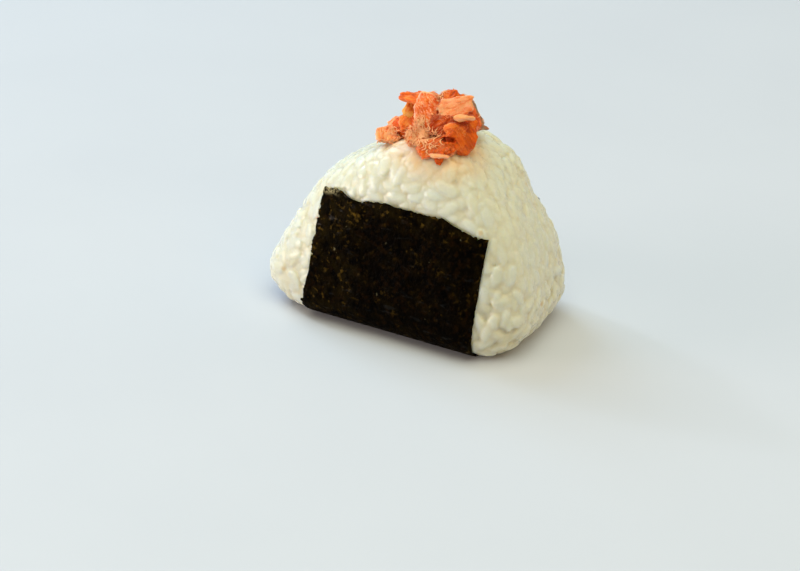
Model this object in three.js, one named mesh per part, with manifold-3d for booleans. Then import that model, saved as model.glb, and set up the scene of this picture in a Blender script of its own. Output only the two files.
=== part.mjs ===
// An onigiri: a hand-pressed ball of short-grain rice that stands on its long side, with a strip of dried
// seaweed folded up round its foot and a heap of flaked salmon on its crown.
//
// Millimetres, +Z up. The origin lies on the ground under the middle of the foot. X runs along the broad
// face and -Y is the front, the side that the salmon hangs over.

import * as THREE from "three";
import { mergeVertices } from "three/addons/utils/BufferGeometryUtils.js";
import Module from "manifold-3d";

const wasm = await Module();
wasm.setup();

// The pressed form: a rounded triangle seen from the front, thick at the foot and thin at the crown.
const BALL_WIDTH = 82.5;
const BALL_HEIGHT = 58.5;
const FOOT_THICKNESS = 56.5;
const CROWN_THICKNESS = 34.5;
const FOOT_CORNER_RADIUS = 11.5;
const CROWN_RADIUS = 20.5;
const SIDE_RADIUS = 63;
const CROWN_LEAN = 5.4; // how far the crown sits to the right of the middle
const SQUARENESS = 4.4; // exponent of the rounding from the sides to the broad faces
const FOOT_SINK = 0.7; // how far the ground cuts into the rounded form, which makes the foot flat
const MIDDLE = new THREE.Vector3(CROWN_LEAN / 2, 0, 0.39 * BALL_HEIGHT);
const LEAST_THICKNESS = 1; // far above the crown, where the narrowing would otherwise close the form

// Where the hands left the form fuller or hollower: the middle, the height of the swelling and its reach.
const SWELLINGS = [
  { at: [-41, -16, 10], rise: 2.2, reach: 9 },
  { at: [-28, -4, 41], rise: 1.4, reach: 10 },
  { at: [23, 14, 48], rise: 1.6, reach: 8 },
  { at: [28, 14, 40], rise: -1.2, reach: 7 },
  { at: [-15, 6, 50], rise: -1.6, reach: 8 },
];

// Cooked short-grain rice.
const GRAIN_LENGTH = 6.3;
const GRAIN_WIDTH = 3.2;
const GRAIN_THICKNESS = 2.7;
const GRAIN_SPACING = 4.85; // least distance between the middles of two grains
const GRAIN_TRIES = 9000; // enough to leave no bare room for one more
const GRAIN_TILT = 0.35; // most that a grain leans out of the surface, in radians
const GRAIN_SEED = 11;
const CORE_INSET = 0.9; // the bare core lies this far inside the form, and the grains stand out of it
const CORE_DETAIL = 5;

// The strip of seaweed, a quarter of the width of a whole sheet, and the clearance that pieces keep.
const SEAWEED_WIDTH = 52.5;
const SEAWEED_LEFT = -24;
const SEAWEED_THICKNESS = 0.5;
const SEAWEED_FRONT_HEIGHT = 40.6;
const SEAWEED_BACK_HEIGHT = 36;
const SEAWEED_RIPPLE = 0.25;
const SEAWEED_COLUMNS = 8;
const SEAWEED_ROWS = 22;
const CLEARANCE = 0.3;
const SLIVER = 0.02; // edges shorter than this are taken out after the pieces are joined

// The salmon: a base that hugs the crown, and the flakes that lie on it.
const SALMON_BASE = { at: [4.5, -3, 60], size: [23, 17, 13] };
const FLAKE_DETAIL = 1;
// Each flake: its middle, its length, width and thickness, the azimuth and elevation that its flat side
// faces, its turn about that direction, how far it narrows to one end, and how far its ends curl.
const FLAKES = [
  { at: [-9, -6.5, 56.1], size: [9.4, 5.4, 5], faces: [10, 35], spin: 24, taper: 0.1, curl: 0.4 },
  { at: [-4.2, -5, 60.9], size: [5.8, 5.2, 4.6], faces: [20, 40], spin: 40, taper: 0.2, curl: 0.3 },
  { at: [-4.6, -3, 62.6], size: [4.6, 5.4, 4], faces: [15, 30], spin: 60, taper: 0.2, curl: 0 },
  { at: [-3.4, -4.6, 67.2], size: [10.6, 6.5, 2.6], faces: [-10, 62], spin: 176, taper: 0.7, curl: -0.6 },
  { at: [3, -8, 66.3], size: [11.6, 10, 4], faces: [8, 22], spin: -84, taper: 0.6, curl: -0.8 },
  { at: [10, -5, 68], size: [10.6, 6, 3.4], faces: [34, 38], spin: 12, taper: 0.25, curl: -0.7 },
  { at: [7.4, -2, 69.4], size: [7, 4.5, 3.6], faces: [25, 60], spin: 4, taper: 0.3, curl: -0.4 },
  { at: [13.2, -7.6, 65.7], size: [8.2, 2.8, 3.6], faces: [30, 50], spin: -6, taper: 0.3, curl: -1 },
  { at: [14.2, -6, 61.6], size: [10.5, 9, 5], faces: [48, 22], spin: 62, taper: 0.3, curl: -1.2 },
  { at: [7.5, -8.2, 62.4], size: [7.5, 6.5, 4], faces: [18, 18], spin: 10, taper: 0.2, curl: 0.3 },
  { at: [1.2, -8.6, 58.6], size: [6.4, 5, 3.6], faces: [5, 30], spin: 30, taper: 0.2, curl: 0 },
  { at: [9, -11.4, 58.2], size: [12.8, 7.4, 5], faces: [22, 34], spin: 14, taper: 0.3, curl: -0.8 },
  { at: [10.3, -14, 56.5], size: [6.2, 2.2, 2], faces: [20, 40], spin: 0, taper: 0.2, curl: -0.4 },
  { at: [10, -14, 55.6], size: [3.8, 4, 2.2], faces: [20, 20], spin: -86, taper: 0.7, curl: -0.3 },
  { at: [12.4, 1, 64.6], size: [11, 7, 3.4], faces: [80, 40], spin: 80, taper: 0.3, curl: -1 },
  { at: [14.4, 3.6, 59.8], size: [5.4, 3, 2.2], faces: [60, 50], spin: -20, taper: 0.7, curl: 0 },
  { at: [-1.5, 1.5, 65.6], size: [9, 7, 4], faces: [200, 45], spin: 20, taper: 0.3, curl: -0.8 },
  { at: [6.4, 3.6, 64.6], size: [10.5, 8, 5], faces: [172, 40], spin: -25, taper: 0.4, curl: -0.8 },
  { at: [-5.5, 3.5, 59], size: [8, 6, 4.6], faces: [210, 50], spin: -35, taper: 0.2, curl: -0.5 },
];

const RICE_COLOUR = 0xe9e4cf;
const SEAWEED_COLOUR = 0x14130c;
const SALMON_COLOUR = 0xe8794a;

// A seeded source of numbers from 0 to 1, so that each build scatters the same grains.
function seededRandom(seed) {
  let state = seed;
  return () => {
    state = (state + 0x6d2b79f5) | 0;
    let mixed = Math.imul(state ^ (state >>> 15), 1 | state);
    mixed = (mixed + Math.imul(mixed ^ (mixed >>> 7), 61 | mixed)) ^ mixed;
    return ((mixed ^ (mixed >>> 14)) >>> 0) / 2 ** 32;
  };
}

// The middle of the large circle of a bulging side, which holds both end circles and touches them.
function sideCentre(from, fromRadius, to, toRadius, sideRadius) {
  const gap = to.clone().sub(from);
  const span = gap.length();
  const toFrom = sideRadius - fromRadius;
  const toEnd = sideRadius - toRadius;
  const along = (toFrom ** 2 - toEnd ** 2 + span ** 2) / (2 * span);
  const across = Math.sqrt(Math.max(toFrom ** 2 - along ** 2, 0));
  const unit = gap.divideScalar(span);
  const sideways = new THREE.Vector2(-unit.y, unit.x);
  return from.clone().addScaledVector(unit, along).addScaledVector(sideways, across);
}

// The distance from a start inside a circle to the circle, along a unit direction.
function reachOfCircle(start, direction, centre, radius) {
  const offset = start.clone().sub(centre);
  const along = offset.dot(direction);
  return -along + Math.sqrt(Math.max(along ** 2 - offset.lengthSq() + radius ** 2, 0));
}

// The front view of the form, drawn in by an inset: three corner circles, two bulging sides and a flat
// base. It gives how far the outline lies from the middle in a direction.
function frontView(inset) {
  const middle = new THREE.Vector2(MIDDLE.x, MIDDLE.z);
  const footX = BALL_WIDTH / 2 - FOOT_CORNER_RADIUS;
  const footY = FOOT_CORNER_RADIUS - FOOT_SINK;
  const right = { centre: new THREE.Vector2(footX, footY), radius: FOOT_CORNER_RADIUS };
  const left = { centre: new THREE.Vector2(-footX, footY), radius: FOOT_CORNER_RADIUS };
  const crown = { centre: new THREE.Vector2(CROWN_LEAN, BALL_HEIGHT - CROWN_RADIUS), radius: CROWN_RADIUS };
  const sides = [sideBetween(right, crown), sideBetween(crown, left)];

  return (direction) => {
    for (const side of sides) {
      const reach = reachOfCircle(middle, direction, side.centre, side.radius - inset);
      const hit = middle.clone().addScaledVector(direction, reach);
      const wholeTurn = turnAbout(side.centre, side.from, side.to);
      if (turnAbout(side.centre, side.from, hit) <= wholeTurn) return reach;
    }
    const footReach = (inset - FOOT_SINK - middle.y) / direction.y;
    const footHit = middle.x + direction.x * footReach;
    if (direction.y < 0 && Math.abs(footHit) <= footX) return footReach;
    const lower = direction.x > 0 ? right : left;
    const near = direction.y > 0 ? crown : lower;
    return reachOfCircle(middle, direction, near.centre, near.radius - inset);
  };
}

// The large circle of a bulging side, which runs anticlockwise from one corner circle to the next.
function sideBetween(from, to) {
  const centre = sideCentre(from.centre, from.radius, to.centre, to.radius, SIDE_RADIUS);
  return { from: from.centre, to: to.centre, centre, radius: SIDE_RADIUS };
}

// The anticlockwise turn about a centre from one point to another.
function turnAbout(centre, from, to) {
  const turn = to.clone().sub(centre).angle() - from.clone().sub(centre).angle();
  return THREE.MathUtils.euclideanModulo(turn, 2 * Math.PI);
}

// The form drawn in by an inset: a test that is 1 on its surface, less inside and more outside.
function pressedForm(inset) {
  const outline = frontView(inset);
  const direction = new THREE.Vector2();
  return (point) => {
    direction.set(point.x - MIDDLE.x, point.z - MIDDLE.z);
    const away = direction.length();
    const share = away > 0 ? away / outline(direction.divideScalar(away)) : 0;
    const slope = (CROWN_THICKNESS - FOOT_THICKNESS) / BALL_HEIGHT;
    const thickness = Math.max(FOOT_THICKNESS + slope * point.z - 2 * inset, LEAST_THICKNESS);
    return share ** SQUARENESS + Math.abs((2 * point.y) / thickness) ** SQUARENESS;
  };
}

// The extra height of the swellings at a point on the form.
function swellingAt(point) {
  let rise = 0;
  for (const swelling of SWELLINGS) {
    const apart = point.distanceTo(new THREE.Vector3(...swelling.at));
    rise += swelling.rise * Math.exp(-((apart / swelling.reach) ** 2));
  }
  return rise;
}

// The point where a ray from inside leaves the form, its flat foot included.
function leaveForm(form, inset, start, direction) {
  let inside = 0;
  let outside = BALL_WIDTH;
  for (let step = 0; step < 30; step++) {
    const half = (inside + outside) / 2;
    if (form(start.clone().addScaledVector(direction, half)) < 1) inside = half;
    else outside = half;
  }
  inside += swellingAt(start.clone().addScaledVector(direction, inside));
  if (direction.z < 0) inside = Math.min(inside, (inset - start.z) / direction.z);
  return start.clone().addScaledVector(direction, inside);
}

// A closed geometry as a solid that can be joined and cut.
function solidOf(geometry) {
  const bare = geometry.clone();
  bare.deleteAttribute("normal");
  bare.deleteAttribute("uv");
  const merged = mergeVertices(bare, 1e-5);
  const triVerts = new Uint32Array(merged.index.array);
  const vertProperties = new Float32Array(merged.attributes.position.array);
  return new wasm.Manifold(new wasm.Mesh({ numProp: 3, vertProperties, triVerts }));
}

// The largest body of a solid as a geometry: loose scraps and sealed hollows are dropped.
function geometryOf(solid) {
  const bodies = solid.decompose().sort((a, b) => b.volume() - a.volume());
  const mesh = bodies[0].getMesh();
  const geometry = new THREE.BufferGeometry();
  geometry.setAttribute("position", new THREE.BufferAttribute(mesh.vertProperties, 3));
  geometry.setIndex(new THREE.BufferAttribute(mesh.triVerts, 1));
  geometry.computeVertexNormals();
  return geometry;
}

// The bare core of rice, or the same form drawn in less: a ball pulled out onto the form.
function ballGeometry(inset, detail) {
  const form = pressedForm(inset);
  const geometry = new THREE.IcosahedronGeometry(1, detail);
  const position = geometry.attributes.position;
  const direction = new THREE.Vector3();
  for (let i = 0; i < position.count; i++) {
    direction.fromBufferAttribute(position, i).normalize();
    const point = leaveForm(form, inset, MIDDLE, direction);
    position.setXYZ(i, point.x, point.y, point.z);
  }
  return geometry;
}

// The height of the strip's cut ends above the ground, which is uneven along the front.
function seaweedEnd(x, isFront) {
  const across = (x - SEAWEED_LEFT) / SEAWEED_WIDTH;
  if (!isFront) return SEAWEED_BACK_HEIGHT + 0.5 * Math.sin(9 * across);
  const sag = 4.2 * THREE.MathUtils.smoothstep(across, 0.72, 1);
  const notch = 1.5 * Math.exp(-(((across - 0.22) / 0.08) ** 2));
  const corner = 1.6 * Math.exp(-((across / 0.06) ** 2));
  return SEAWEED_FRONT_HEIGHT - sag - notch - corner;
}

// The angle above the horizontal, seen from the middle, at which the strip reaches a height.
function angleAtHeight(form, x, height) {
  const start = new THREE.Vector3(x, 0, MIDDLE.z);
  let low = 0;
  let high = Math.PI / 2;
  for (let step = 0; step < 24; step++) {
    const half = (low + high) / 2;
    const direction = new THREE.Vector3(0, Math.cos(half), Math.sin(half));
    if (leaveForm(form, 0, start, direction).z < height) low = half;
    else high = half;
  }
  return low;
}

// A strip that follows the form from the front, under the foot and up the back, between two insets.
function stripGeometry(outerInset, innerInset, margin) {
  const surface = pressedForm(0);
  const layers = [outerInset, innerInset].map((inset) => ({ inset, form: pressedForm(inset) }));
  const geometry = new THREE.BoxGeometry(1, 1, 1, SEAWEED_COLUMNS, SEAWEED_ROWS, 1);
  const position = geometry.attributes.position;
  for (let i = 0; i < position.count; i++) {
    const x = SEAWEED_LEFT - margin + (position.getX(i) + 0.5) * (SEAWEED_WIDTH + 2 * margin);
    const [front, back] = [true, false].map(
      (isFront) => Math.PI / 2 + angleAtHeight(surface, x, seaweedEnd(x, isFront) + 1.5 * margin),
    );
    const angle = THREE.MathUtils.lerp(-front, back, position.getY(i) + 0.5);
    const direction = new THREE.Vector3(0, Math.sin(angle), -Math.cos(angle));
    const start = new THREE.Vector3(x, 0, MIDDLE.z);
    const { inset, form } = layers[position.getZ(i) < 0 ? 0 : 1];
    const point = leaveForm(form, inset, start, direction);
    const lift = THREE.MathUtils.smoothstep(point.z, 2, 12) * SEAWEED_RIPPLE;
    const ripple = Math.sin(0.31 * x + 2.2 * angle) * Math.sin(5 * angle - 0.12 * x);
    point.addScaledVector(direction, lift * ripple);
    position.setXYZ(i, point.x, point.y, point.z);
  }
  matchDiagonals(geometry);
  return geometry;
}

// Splits the squares of a box's last face along the other diagonal, so that both broad faces bend alike.
function matchDiagonals(box) {
  const { start, count } = box.groups.at(-1);
  const indices = box.index.array;
  for (let i = start; i < start + count; i += 6) {
    const [first, second, fourth, , third] = indices.slice(i, i + 6);
    indices.set([first, second, third, first, third, fourth], i);
  }
}

// A flake of salmon: a ball flattened and squared off, narrowed to one end, curled and turned into place.
function flakeGeometry(flake) {
  const geometry = new THREE.IcosahedronGeometry(1, FLAKE_DETAIL);
  const position = geometry.attributes.position;
  const [length, width, thickness] = flake.size;
  const point = new THREE.Vector3();
  const squared = (value, power) => Math.sign(value) * Math.abs(value) ** power;
  for (let i = 0; i < position.count; i++) {
    point.fromBufferAttribute(position, i);
    const along = squared(point.x, 0.8);
    const across = squared(point.y, 0.8) * (1 - (flake.taper * (along + 1)) / 2);
    const out = squared(point.z, 0.7) * (1 - 0.25 * flake.taper * (along + 1));
    point.set((along * length) / 2, (across * width) / 2, (out * thickness) / 2 + flake.curl * along ** 2);
    position.setXYZ(i, point.x, point.y, point.z);
  }
  return geometry.applyMatrix4(flakePlace(flake));
}

// The matrix that turns a flake's flat side to face its azimuth and elevation, and moves it to its place.
function flakePlace(flake) {
  const [azimuth, elevation] = flake.faces.map(THREE.MathUtils.degToRad);
  const spin = THREE.MathUtils.degToRad(flake.spin);
  const normal = new THREE.Vector3(
    Math.sin(azimuth) * Math.cos(elevation),
    -Math.cos(azimuth) * Math.cos(elevation),
    Math.sin(elevation),
  );
  const right = new THREE.Vector3(Math.cos(azimuth), Math.sin(azimuth), 0);
  const along = right.applyAxisAngle(normal, spin);
  const across = normal.clone().cross(along);
  return new THREE.Matrix4().makeBasis(along, across, normal).setPosition(...flake.at);
}

// The heap of salmon, hollowed underneath to sit just above the bare core.
function salmonSolid() {
  const { at, size } = SALMON_BASE;
  const base = new THREE.IcosahedronGeometry(0.5, 2).scale(...size).translate(...at);
  const flakes = FLAKES.map((flake) => solidOf(flakeGeometry(flake)));
  const crown = solidOf(ballGeometry(CORE_INSET - CLEARANCE, CORE_DETAIL));
  return wasm.Manifold.union([solidOf(base), ...flakes]).subtract(crown).simplify(SLIVER);
}

// Grains lie on the bare core at random places that keep apart, each turned at random in the surface.
function scatterGrains(core, keepOut) {
  const random = seededRandom(GRAIN_SEED);
  const surface = core.attributes.position;
  const triangles = [];
  let area = 0;
  for (let i = 0; i < surface.count; i += 3) {
    const triangle = new THREE.Triangle();
    triangle.setFromAttributeAndIndices(surface, i, i + 1, i + 2);
    area += triangle.getArea();
    triangles.push({ triangle, upTo: area });
  }
  const grains = [];
  const spots = [];
  for (let tries = 0; tries < GRAIN_TRIES; tries++) {
    const pick = random() * area;
    const { triangle } = triangles.find((entry) => entry.upTo >= pick);
    const [across, up] = [Math.sqrt(random()), random()];
    const spot = triangle.a.clone().multiplyScalar(1 - across);
    spot.addScaledVector(triangle.b, across * (1 - up)).addScaledVector(triangle.c, across * up);
    const turn = random() * Math.PI;
    const tilt = (random() * 2 - 1) * GRAIN_TILT;
    const depth = random();
    const size = 0.88 + 0.24 * random();
    if (spots.some((other) => other.distanceTo(spot) < GRAIN_SPACING)) continue;
    const grain = grainAt(spot, triangle.getNormal(new THREE.Vector3()), { turn, tilt, depth, size });
    if (keepOut(spot, grain)) continue;
    spots.push(spot);
    grains.push(solidOf(grain));
  }
  return grains;
}

// One grain of rice on the core: half sunk, and lying nearly flat.
function grainAt(spot, normal, { turn, tilt, depth, size }) {
  const side = new THREE.Vector3(0, 0, 1).cross(normal);
  if (side.lengthSq() < 0.01) side.set(1, 0, 0);
  side.normalize().applyAxisAngle(normal, turn);
  const out = normal.clone().applyAxisAngle(side.clone().cross(normal), tilt);
  const along = side.clone().addScaledVector(out, -side.dot(out)).normalize();
  const across = out.clone().cross(along);
  const lift = 0.7 * depth - 0.6;
  const place = new THREE.Matrix4().makeBasis(along, across, out);
  place.setPosition(spot.clone().addScaledVector(normal, lift));
  return new THREE.IcosahedronGeometry(0.5, 0)
    .scale(GRAIN_LENGTH * size, GRAIN_WIDTH * size, GRAIN_THICKNESS * size)
    .applyMatrix4(place);
}

// Whether a point on the bare core lies behind the seaweed.
function isUnderSeaweed(spot) {
  const across = spot.x - SEAWEED_LEFT;
  return across > 0 && across < SEAWEED_WIDTH && spot.z < seaweedEnd(spot.x, spot.y < 0);
}

// Whether a grain, grown by a fifth, would touch the salmon.
function touchesSalmon(grain, salmon) {
  grain.computeBoundingBox();
  const middle = grain.boundingBox.getCenter(new THREE.Vector3());
  const growth = new THREE.Matrix4().makeScale(1.2, 1.2, 1.2);
  growth.setPosition(middle.multiplyScalar(-0.2));
  return solidOf(grain.clone().applyMatrix4(growth)).intersect(salmon).volume() > 0;
}

// The rice: the core with its grains, cut flat at the foot and cut back from the seaweed.
function riceSolid(salmon) {
  const core = ballGeometry(CORE_INSET, CORE_DETAIL);
  const pocket = stripGeometry(-2 * GRAIN_WIDTH, SEAWEED_THICKNESS + CLEARANCE, CLEARANCE);
  const grains = scatterGrains(core, (spot, grain) => isUnderSeaweed(spot) || touchesSalmon(grain, salmon));
  const room = new THREE.BoxGeometry(2 * BALL_WIDTH, 2 * BALL_WIDTH, 2 * BALL_WIDTH);
  room.translate(0, 0, BALL_WIDTH);
  const ball = wasm.Manifold.union([solidOf(core), ...grains]);
  return ball.intersect(solidOf(room)).subtract(solidOf(pocket)).simplify(SLIVER);
}

function namedMesh(name, geometry, colour, roughness) {
  const material = new THREE.MeshStandardMaterial({ color: colour, roughness, metalness: 0 });
  const mesh = new THREE.Mesh(geometry, material);
  mesh.name = name;
  return mesh;
}

const salmon = salmonSolid();
const rice = riceSolid(salmon);
const seaweed = solidOf(stripGeometry(0, SEAWEED_THICKNESS, 0));

const onigiri = new THREE.Group();
onigiri.add(namedMesh("rice", geometryOf(rice), RICE_COLOUR, 0.45));
onigiri.add(namedMesh("seaweed", geometryOf(seaweed), SEAWEED_COLOUR, 0.55));
onigiri.add(namedMesh("salmon_flakes", geometryOf(salmon), SALMON_COLOUR, 0.5));

export default onigiri;
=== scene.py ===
"""Dresses an onigiri: sticky short-grain rice, a strip of dried seaweed and a heap of flaked salmon.

Metres, +Z up, with the origin on the ground under the middle of the foot. X runs along the broad face,
and -Y is the front. Shapes are worked out in millimetres and scaled when they become meshes.
"""

from functools import cache
from math import atan2, cos, pi, radians, sin, sqrt

import bpy
import numpy as np
from mathutils import Matrix, Vector, bvhtree, kdtree, noise


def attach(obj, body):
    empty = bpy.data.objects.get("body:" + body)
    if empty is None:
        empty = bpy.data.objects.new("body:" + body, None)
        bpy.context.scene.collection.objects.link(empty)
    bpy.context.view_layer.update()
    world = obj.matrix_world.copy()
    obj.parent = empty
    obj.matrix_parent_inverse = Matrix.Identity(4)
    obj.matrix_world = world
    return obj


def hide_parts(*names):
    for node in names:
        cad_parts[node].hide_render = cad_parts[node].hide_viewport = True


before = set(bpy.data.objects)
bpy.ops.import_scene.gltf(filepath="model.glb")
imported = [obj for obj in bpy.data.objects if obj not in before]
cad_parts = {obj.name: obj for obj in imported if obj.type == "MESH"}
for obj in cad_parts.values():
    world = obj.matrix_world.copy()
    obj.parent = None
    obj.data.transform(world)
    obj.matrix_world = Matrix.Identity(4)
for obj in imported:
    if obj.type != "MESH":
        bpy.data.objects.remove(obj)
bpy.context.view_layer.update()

MM = 0.001
MOST_FACES = 190000  # triangles in a piece, a little under the 200,000 past which the export thins it

# The pressed form: a rounded triangle seen from the front, thick at the foot and thin at the crown.
BALL_WIDTH = 82.5
BALL_HEIGHT = 58.5
FOOT_THICKNESS = 56.5
CROWN_THICKNESS = 34.5
FOOT_CORNER_RADIUS = 11.5
CROWN_RADIUS = 20.5
SIDE_RADIUS = 63
CROWN_LEAN = 5.4
SQUARENESS = 4.4
FOOT_SINK = 0.7
MIDDLE = np.array([CROWN_LEAN / 2, 0, 0.39 * BALL_HEIGHT])
SWELLINGS = [
    # middle, rise and reach of the places that the hands left fuller or hollower
    ((-41, -16, 10), 2.2, 9),
    ((-28, -4, 41), 1.4, 10),
    ((23, 14, 48), 1.6, 8),
    ((28, 14, 40), -1.2, 7),
    ((-15, 6, 50), -1.6, 8),
]

# Cooked short-grain rice. Relief is the share of a grain's height that pressing has left, and a crease
# is the line between two grains.
GRAIN_SIZE = (6.4, 3.4, 2.8)
GRAIN_LAYERS = [
    # height of the middles above the core, least distance between grains
    ((0.9, 1.3), 2.75),
    ((0.4, 0.75), 2.6),
    ((-0.1, 0.25), 2.4),
]
CREASE_DEPTH = 0.18
CREASE_WIDTH = 0.7
CORE_INSET = 2.4
CORE_INSET_HIDDEN = 0.8  # behind the seaweed
GRAIN_SPOTS = 30000
GRAIN_BEADS = np.array([-0.32, 0, 0.32])  # where along a grain its distance to others is measured
NEIGHBOUR_REACH = 6.5
GERM_SHARE = 0.05
STAIN_MIDDLE = (6, -7, 57)
STAIN_STRETCH = (1.3, 1, 1)
STAIN_REACH = (6, 16)
RICE_VOXEL = 0.36
RICE_SEED = 5
RICE_WHITE = (0.645, 0.69, 0.65)
RICE_CREAM = (0.665, 0.68, 0.58)
# warm beige, laid in random patches and as painted shade in the gaps between grains and near the foot
RICE_BEIGE_AND_SHADE = (0.66, 0.59, 0.40)
RICE_GERM = (0.57, 0.38, 0.12)
RICE_STAIN = (0.78, 0.46, 0.20)
RELIEF = 0.26
RELIEF_ZONES = [
    # middle, reach, relief
    ((36, -20, 13), 12, 0.6),
    ((-43, -8, 10), 9, 0.7),
    ((-37, -8, 27), 8, 0.55),
    ((-41, -17, 8), 8, 0.3),
    ((40, 6, 8), 10, 0.6),
    ((36, -4, 33), 17, 0.16),
    ((24, -6, 48), 11, 0.2),
    ((-24, -12, 43), 12, 0.24),
    ((5.3, -14.6, 54), 4, 0.1),
]

# The strip of seaweed. Its length runs from the front end to the back one, and at its foot it turns
# under the rice.
SEAWEED_LEFT = -24
SEAWEED_WIDTH = 52.5
SEAWEED_LENGTH = 135
SEAWEED_FRONT_HEIGHT = 40.6
SEAWEED_BACK_HEIGHT = 36
SEAWEED_THICKNESS = 0.28
SEAWEED_FOOT = 40
SEAWEED_STEP = 0.46
SEAWEED_BLACK = (0.0004, 0.0002, 0.0001)
SEAWEED_BROWN = (0.0020, 0.0010, 0.0002)
SEAWEED_RED = (0.0085, 0.0034, 0.0005)
SEAWEED_OLIVE = (0.0120, 0.0075, 0.0009)
SEAWEED_GOLD = (0.115, 0.066, 0.010)
SEAWEED_PALE = (0.42, 0.36, 0.20)

# The heap of salmon. A flake faces an azimuth and a height, and is spun about that. Its tone goes from
# pale pink at 0 to dark orange at 1. Fibres is the angle at which they cross it, film how much pale
# skin holds it together, and relief how coarse it is.
SALMON_BASE = ((5.5, -3, 60), (19.5, 13.5, 12))
SALMON_BASE_LEFT = ((-4.6, -4.6, 57.6), (10, 6.4, 7))
FLAKES = {
    # middle, size, facing, spin, taper, curl, tone, fibres, film, relief
    "left_lump": ((-8.6, -6.6, 56.1), (8.8, 5.2, 5.2), (10, 35), 20, 0.1, 0.4, 0.15, 90, 0.8, 0.8),
    "left_back": ((-6.1, -4.4, 58.3), (8.8, 6, 5.6), (0, 40), 30, 0.2, 0.2, 0.0, 60, 0.6, 0.7),
    "left_step": ((-4, -5, 60.6), (6, 5.4, 4.8), (20, 40), 40, 0.2, 0.3, 0.35, 20, 0.2, 0.6),
    "left_bead": ((-4, -3.6, 63.6), (5, 5, 4.4), (15, 30), 60, 0.2, 0, -0.1, 20, 0.3, 0.5),
    "finger": ((-2.9, -5, 67.4), (10, 3.4, 3), (-5, 50), 176, 0.1, -0.4, 0.45, 10, 0.1, 0.4),
    "tall_fold": ((3.2, -8.8, 65.6), (11.4, 10, 3.6), (8, 22), -84, 0.6, -0.8, 0.45, 35, 0.95, 0.4),
    "right_slab": ((9.9, -4.6, 67.9), (11, 6, 3), (34, 38), 12, 0.05, -0.7, 0.1, 4, 0.7, 0.35),
    "crest": ((7.4, -2, 69.4), (7, 4.5, 3.6), (25, 60), 4, 0.2, -0.4, 0.6, 90, 0.1, 0.9),
    "crescent": ((14.1, -7.4, 66.8), (5.6, 1.5, 3.2), (30, 50), -2, 0.3, -0.8, -0.1, 0, 0.6, 0.2),
    "inner_slab": ((12, -8.6, 62.6), (6.4, 4.6, 2.2), (28, 20), 4, 0.05, -0.5, 0.4, 12, 0.25, 0.25),
    "right_cheek": ((13.6, -6.8, 61.1), (11.5, 9.6, 5.4), (46, 22), 62, 0.25, -1.2, 0.66, 60, 0.1, 0.2),
    "middle": ((7.8, -8.2, 63.4), (8, 6.6, 4), (18, 20), 10, 0.2, 0.2, 0.95, 30, 0.35, 0.4),
    "tuft_bed": ((1.8, -10.7, 59.8), (6.6, 5.6, 4), (10, 45), 30, 0.3, 0, 0.3, 40, 0.15, 1.8),
    "lower_front": ((9, -11.2, 57.9), (12.8, 6.8, 5), (22, 34), 14, 0.3, -0.8, 0.62, 24, 0.35, 1.2),
    "cream_strip": ((10.1, -14, 56.5), (5.5, 1.3, 1.8), (20, 40), 0, 0.2, -0.4, -0.4, 0, 0.9, 0.4),
    "front_tip": ((10, -14, 55.6), (3.8, 4, 2.2), (20, 20), -86, 0.7, -0.3, 0.7, 90, 0, 0.6),
    "skin_side": ((12.4, 1, 64.6), (11, 7, 3.4), (80, 40), 80, 0.3, -1, 0.5, 10, 0.3, 0.5),
    "skin_tail": ((14.4, 3.6, 59.8), (5.4, 3, 2.2), (60, 50), -20, 0.7, 0, 0.6, 10, 0.2, 0.5),
    "back_left": ((-1.5, 1.5, 65.6), (9, 7, 4), (200, 45), 20, 0.3, -0.8, 0.4, 15, 0.4, 0.7),
    "back_right": ((6.4, 3.6, 64.6), (10.5, 8, 5), (172, 40), -25, 0.4, -0.8, 0.25, 30, 0.5, 0.7),
    "back_low": ((-5.5, 3.5, 59), (8, 6, 4.6), (210, 50), -35, 0.2, -0.5, 0.5, 70, 0.3, 0.7),
}
FOLDS = {"tall_fold": (1.2, 62)}  # where the crease lies, and the angle
AMBER = {
    # flakes of a yellower orange than the rest
    "left_bead": 0.75, "left_step": 0.7, "left_lump": 0.25, "finger": 0.8, "right_slab": 0.05,
    "crest": 0.6, "crescent": 0.3, "middle": 0.4, "right_cheek": 0.75, "inner_slab": 0.7,
    "lower_front": 0.6, "front_tip": 0.7, "back_right": 0.4,
}
SALMON_DENTS = [
    # middle, half width, half height, depth
    ((11.2, -10.8, 60.6), 2.2, 0.85, 1.4),
    ((-5.4, -6.6, 56.6), 1.6, 0.8, 1.0),
]
SALMON_MARKS = ("tone", "film", "skin", "amber", "veined")
FIBRE_MARKS = ("run", "over", "out")  # along the fibres, across them and out from them
SALMON_VOXEL = 0.19
SALMON_SEED = 3
# reach and rays of the painted shade in the salmon heap's recesses
HOLLOW_SHADE_REACH = 4
HOLLOW_SHADE_RAYS = 10
SHREDS = 380
SHRED_SPOTS = 12000
SHREDS_ABOVE = 53.5
SHRED_LENGTH = (1.0, 2.8)
SHRED_WIDTH = (0.28, 0.5)
SHRED_RINGS = 9
SHRED_SIDES = 5
SHRED_TUFTS = [
    # middle, reach, share of the strands
    ((1, -11, 60), 4.0, 0.56),
    ((6, -12.6, 59.6), 3.4, 0.16),
    ((2.4, -10, 63), 2.4, 0.1),
    ((-8, -7.5, 54.5), 4.0, 0.1),
    ((3, -3, 70), 3.0, 0.1),
    ((6, 4, 62), 10, 0.1),
]
SALMON_TONES = (
    # share of the way from pale pink to dark orange, colour
    (0.0, (0.96, 0.39, 0.19)),
    (0.3, (0.86, 0.20, 0.050)),
    (0.6, (0.74, 0.105, 0.009)),
    (1.0, (0.38, 0.030, 0.002)),
)
SALMON_CREAM = (0.97, 0.56, 0.34)
SALMON_AMBER = (1.0, 1.22, 0.35)
SALMON_SKIN = (0.24, 0.19, 0.13)

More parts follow.
